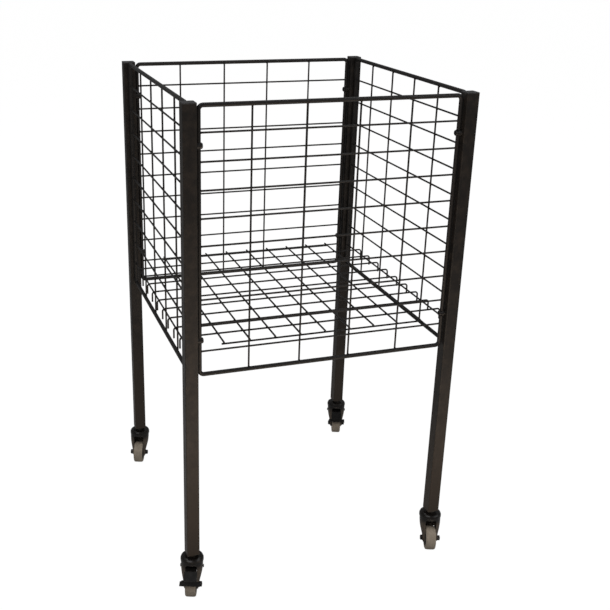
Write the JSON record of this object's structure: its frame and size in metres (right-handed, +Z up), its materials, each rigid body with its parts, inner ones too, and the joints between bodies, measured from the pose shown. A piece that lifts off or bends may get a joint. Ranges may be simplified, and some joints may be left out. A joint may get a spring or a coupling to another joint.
{
  "type": "wire dump bin on casters",
  "caption": "Square black wire merchandise basket with a hook-on wire shelf floor, carried on tall tube legs with swivel casters.",
  "frame": {"origin": "on the floor, at the centre of the square of the four legs", "axes": "+Z up; -Y is the front; +X is to the right seen from the front"},
  "size_m": [0.5852, 0.6053, 0.968],
  "materials": {
    "powder_coat_tube": "black powder coat, satin, slightly warm",
    "powder_coat_rod": "black powder coat, satin",
    "powder_coat_wire": "black powder coat over drawn wire",
    "cap_plastic": "moulded black plastic end cap",
    "zinc_steel": "bright zinc plate",
    "black_bolt": "black oxide fastener",
    "stem_steel": "dulled zinc plate",
    "bearing_steel": "polished, greased",
    "fork_enamel": "gloss black enamel over pressed steel",
    "brake_enamel": "gloss black enamel over pressed steel",
    "wheel_plastic": "moulded dark grey nylon",
    "tyre_rubber": "non-marking grey rubber tread"
  },
  "bodies": {
    "frame": {"back_panel_bolts": "black_bolt", "back_panel_cross_wires": "powder_coat_wire", "back_panel_rim": "powder_coat_rod", "back_panel_upright_wires": "powder_coat_wire", "caster_stem_bl": "stem_steel", "caster_stem_br": "stem_steel", "caster_stem_fl": "stem_steel", "caster_stem_fr": "stem_steel", "front_panel_bolts": "black_bolt", "front_panel_cross_wires": "powder_coat_wire", "front_panel_rim": "powder_coat_rod", "front_panel_upright_wires": "powder_coat_wire", "left_panel_cross_wires": "powder_coat_wire", "left_panel_rim": "powder_coat_rod", "left_panel_upright_wires": "powder_coat_wire", "leg_back_left": "powder_coat_tube", "leg_back_right": "powder_coat_tube", "leg_cap_back_left": "cap_plastic", "leg_cap_back_right": "cap_plastic", "leg_cap_front_left": "cap_plastic", "leg_cap_front_right": "cap_plastic", "leg_front_left": "powder_coat_tube", "leg_front_right": "powder_coat_tube", "leg_nut_plates": "zinc_steel", "right_panel_cross_wires": "powder_coat_wire", "right_panel_rim": "powder_coat_rod", "right_panel_upright_wires": "powder_coat_wire", "rivet_nuts": "zinc_steel", "swivel_balls_bl": "bearing_steel", "swivel_balls_br": "bearing_steel", "swivel_balls_fl": "bearing_steel", "swivel_balls_fr": "bearing_steel"},
    "shelf": {"shelf_hook_wires": "powder_coat_wire", "shelf_long_wires": "powder_coat_wire"},
    "fork_fl": {"caster_fork_fl": "fork_enamel", "axle_bolt_fl": "black_bolt", "axle_nut_fl": "black_bolt", "brake_pin_fl": "black_bolt"},
    "wheel_fl": {"wheel_core_fl": "wheel_plastic", "tyre_fl": "tyre_rubber"},
    "brake_fl": {"brake_pedal_fl": "brake_enamel"},
    "fork_fr": {"caster_fork_fr": "fork_enamel", "axle_bolt_fr": "black_bolt", "axle_nut_fr": "black_bolt"},
    "wheel_fr": {"wheel_core_fr": "wheel_plastic", "tyre_fr": "tyre_rubber"},
    "fork_bl": {"caster_fork_bl": "fork_enamel", "axle_bolt_bl": "black_bolt", "axle_nut_bl": "black_bolt"},
    "wheel_bl": {"wheel_core_bl": "wheel_plastic", "tyre_bl": "tyre_rubber"},
    "fork_br": {"caster_fork_br": "fork_enamel", "axle_bolt_br": "black_bolt", "axle_nut_br": "black_bolt", "brake_pin_br": "black_bolt"},
    "wheel_br": {"wheel_core_br": "wheel_plastic", "tyre_br": "tyre_rubber"},
    "brake_br": {"brake_pedal_br": "brake_enamel"}
  },
  "joints": [
    {"name": "shelf_lift", "type": "slide", "parent": "frame", "child": "shelf", "axis": [0, 0, 1], "range_m": [0, 0.042]},
    {"name": "swivel_fl", "type": "hinge", "parent": "frame", "child": "fork_fl", "pos_m": [-0.2625, -0.2625, 0.07], "axis": [0, 0, 1], "continuous": true},
    {"name": "roll_fl", "type": "hinge", "parent": "fork_fl", "child": "wheel_fl", "pos_m": [-0.26934, -0.28129, 0.025], "axis": [0.9397, -0.342, 0], "continuous": true},
    {"name": "brake_fl", "type": "hinge", "parent": "fork_fl", "child": "brake_fl", "pos_m": [-0.26318, -0.26438, 0.055], "axis": [0.9397, -0.342, 0], "range_deg": [0, 7]},
    {"name": "swivel_fr", "type": "hinge", "parent": "frame", "child": "fork_fr", "pos_m": [0.2625, -0.2625, 0.07], "axis": [0, 0, 1], "continuous": true},
    {"name": "roll_fr", "type": "hinge", "parent": "fork_fr", "child": "wheel_fr", "pos_m": [0.25566, -0.28129, 0.025], "axis": [0.9397, -0.342, 0], "continuous": true},
    {"name": "swivel_bl", "type": "hinge", "parent": "frame", "child": "fork_bl", "pos_m": [-0.2625, 0.2625, 0.07], "axis": [0, 0, 1], "continuous": true},
    {"name": "roll_bl", "type": "hinge", "parent": "fork_bl", "child": "wheel_bl", "pos_m": [-0.26934, 0.24371, 0.025], "axis": [0.9397, -0.342, 0], "continuous": true},
    {"name": "swivel_br", "type": "hinge", "parent": "frame", "child": "fork_br", "pos_m": [0.2625, 0.2625, 0.07], "axis": [0, 0, 1], "continuous": true},
    {"name": "roll_br", "type": "hinge", "parent": "fork_br", "child": "wheel_br", "pos_m": [0.25566, 0.24371, 0.025], "axis": [0.9397, -0.342, 0], "continuous": true},
    {"name": "brake_br", "type": "hinge", "parent": "fork_br", "child": "brake_br", "pos_m": [0.26182, 0.26062, 0.055], "axis": [0.9397, -0.342, 0], "range_deg": [0, 7]}
  ]
}
